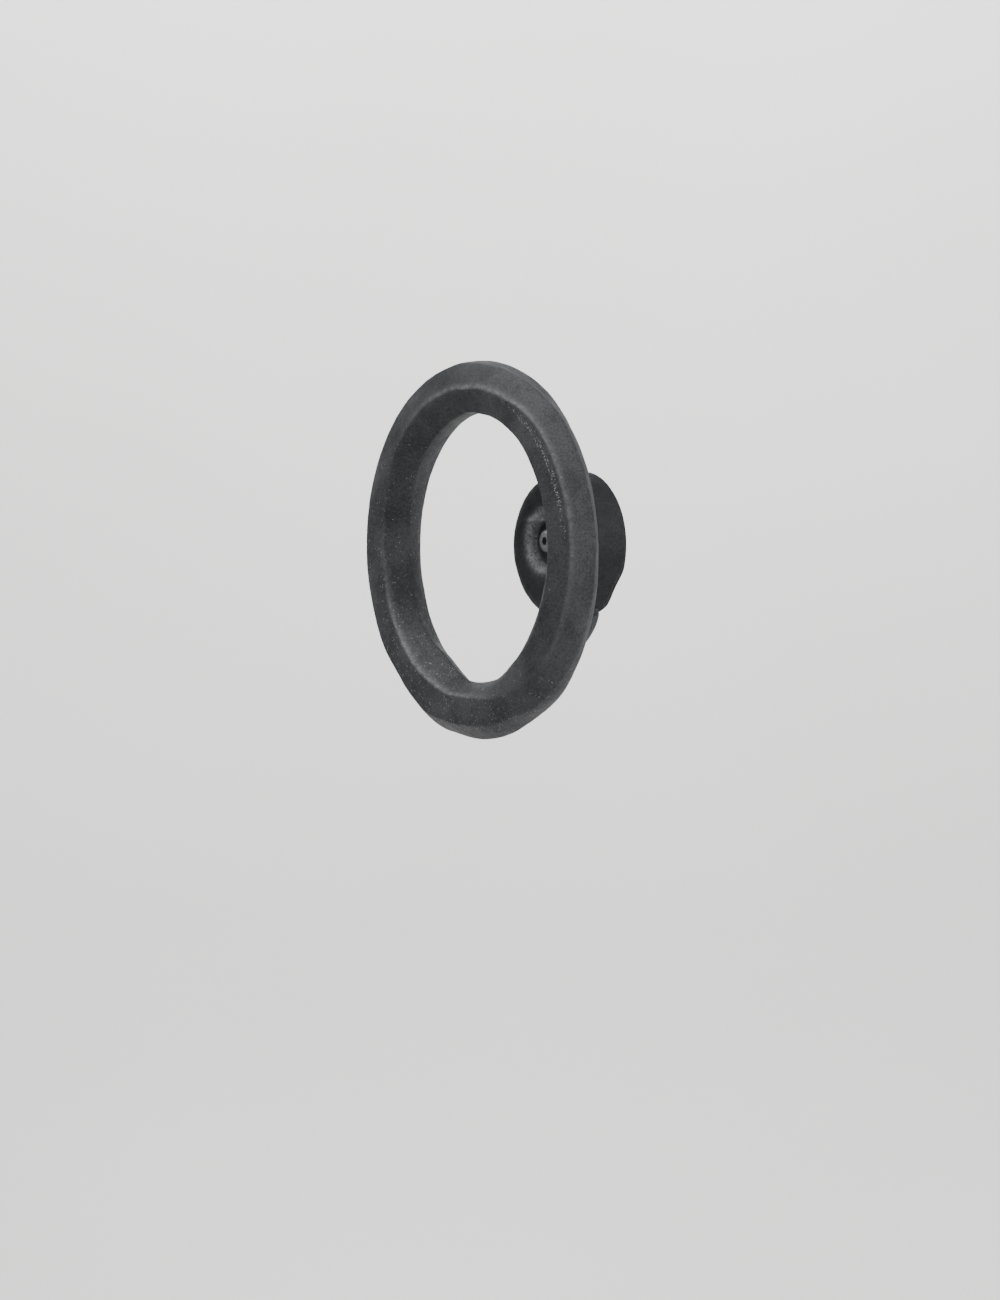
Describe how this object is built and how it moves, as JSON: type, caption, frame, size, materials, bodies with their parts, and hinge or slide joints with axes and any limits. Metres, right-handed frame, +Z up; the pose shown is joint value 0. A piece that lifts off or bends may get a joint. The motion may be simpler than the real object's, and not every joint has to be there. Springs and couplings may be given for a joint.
{
  "type": "door knocker",
  "caption": "Cast ring door knocker: a thick closed ring on a curved arm swings on a pin inside a round dished rose that is screwed to the door.",
  "frame": {"origin": "where the fixing screw's axis meets the door plane", "axes": "+X to the right as one faces the door, +Y into the door, +Z up; the rose and the ring face -Y"},
  "size_m": [0.1248, 0.0553, 0.1249],
  "materials": {
    "black_iron": "matt charcoal black over a sand-cast skin, with fine bright specks on the raised edges",
    "arm_iron": "matt charcoal black over a sand-cast skin",
    "screw_steel": "dull steel with a darkened surface",
    "plate_steel": "blackened steel",
    "hard_steel": "ground hardened steel",
    "brass": "machined brass",
    "rubber": "matt black rubber sheet"
  },
  "bodies": {
    "mounting": {"rose": "black_iron", "back_plate": "plate_steel", "back_plate_screws": "plate_steel", "anvil_plug": "hard_steel", "door_gasket": "rubber", "anti_turn_pins": "plate_steel", "fixing_screw": "screw_steel", "hinge_pin": "hard_steel", "pin_blocks": "brass"},
    "knocker": {"knocker_ring": "black_iron", "knocker_arm": "arm_iron", "pivot_bushes": "brass", "striker_plug": "hard_steel", "ring_stud": "plate_steel", "ring_key_pin": "hard_steel"}
  },
  "joints": [
    {"name": "knocker_swing", "type": "hinge", "parent": "mounting", "child": "knocker", "pos_m": [0.009, -0.0082, -0.0158], "axis": [-1, 0, 0], "range_deg": [0, 15]}
  ]
}
